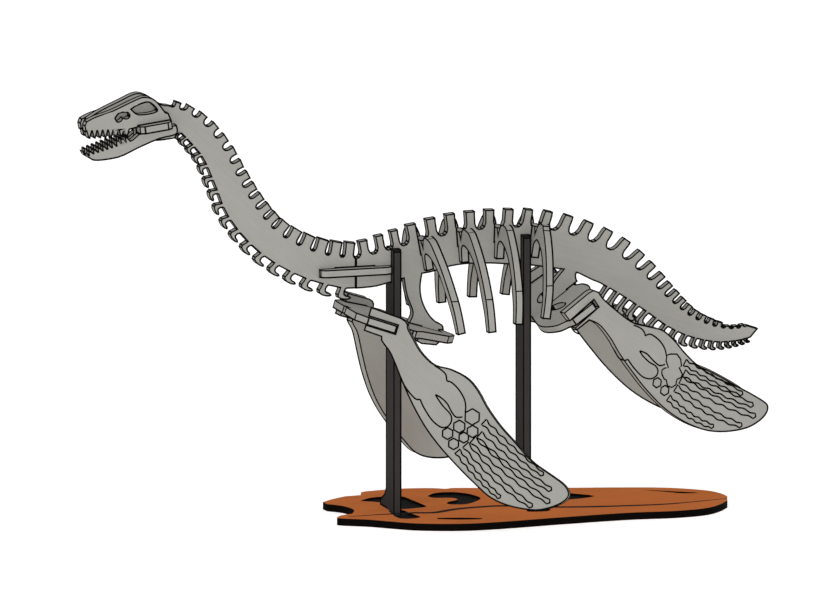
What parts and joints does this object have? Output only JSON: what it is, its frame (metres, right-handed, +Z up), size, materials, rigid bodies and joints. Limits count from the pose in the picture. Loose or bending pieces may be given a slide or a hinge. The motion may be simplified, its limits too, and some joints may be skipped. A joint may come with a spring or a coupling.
{
  "type": "wooden skeleton jigsaw puzzle",
  "caption": "Flat plywood pieces that slot together into a long-necked marine reptile skeleton, carried by two forked posts on a shaped display base.",
  "frame": {"origin": "on the surface the base stands on, below the middle of the model's length and width", "axes": "+X from the head to the tail, +Y towards the right-hand flippers, +Z up"},
  "size_m": [0.2857, 0.1384, 0.1808],
  "materials": {
    "bone_wood": "matt grey stain over plywood, charred laser-cut edges",
    "post_wood": "satin dark grey stain",
    "base_wood": "satin brown stain, charred edges, pockets and grooves"
  },
  "bodies": {
    "stand": {"base_plate": "base_wood", "post_front": "post_wood", "post_rear": "post_wood"},
    "skeleton": {"neck_plate": "bone_wood", "body_tail_plate": "bone_wood", "spine_splice": "bone_wood", "skull_left": "bone_wood", "skull_right": "bone_wood", "jaw_left": "bone_wood", "jaw_right": "bone_wood", "skull_lock": "bone_wood", "pectoral_girdle": "bone_wood", "pelvic_girdle": "bone_wood"},
    "rib_1": {"rib_1": "bone_wood"},
    "rib_2": {"rib_2": "bone_wood"},
    "rib_3": {"rib_3": "bone_wood"},
    "rib_4": {"rib_4": "bone_wood"},
    "front_flipper_left": {"front_flipper_left": "bone_wood"},
    "front_flipper_right": {"front_flipper_right": "bone_wood"},
    "rear_flipper_left": {"rear_flipper_left": "bone_wood"},
    "rear_flipper_right": {"rear_flipper_right": "bone_wood"}
  },
  "joints": [
    {"name": "skeleton_lift", "type": "slide", "parent": "stand", "child": "skeleton", "axis": [0, 0, 1], "range_m": [0, 0.04]},
    {"name": "rib_1_pull", "type": "slide", "parent": "skeleton", "child": "rib_1", "axis": [-0.1822, 0, 0.9833], "range_m": [0, 0.03]},
    {"name": "rib_2_pull", "type": "slide", "parent": "skeleton", "child": "rib_2", "axis": [-0.0767, 0, 0.9971], "range_m": [0, 0.03]},
    {"name": "rib_3_pull", "type": "slide", "parent": "skeleton", "child": "rib_3", "axis": [0.0349, 0, 0.9994], "range_m": [0, 0.03]},
    {"name": "rib_4_pull", "type": "slide", "parent": "skeleton", "child": "rib_4", "axis": [0.1305, 0, 0.9914], "range_m": [0, 0.03]},
    {"name": "front_flipper_left_pull", "type": "slide", "parent": "skeleton", "child": "front_flipper_left", "axis": [0, -1, 0], "range_m": [0, 0.015]},
    {"name": "front_flipper_right_pull", "type": "slide", "parent": "skeleton", "child": "front_flipper_right", "axis": [0, 1, 0], "range_m": [0, 0.015]},
    {"name": "rear_flipper_left_pull", "type": "slide", "parent": "skeleton", "child": "rear_flipper_left", "axis": [0, -1, 0], "range_m": [0, 0.015]},
    {"name": "rear_flipper_right_pull", "type": "slide", "parent": "skeleton", "child": "rear_flipper_right", "axis": [0, 1, 0], "range_m": [0, 0.015]}
  ]
}
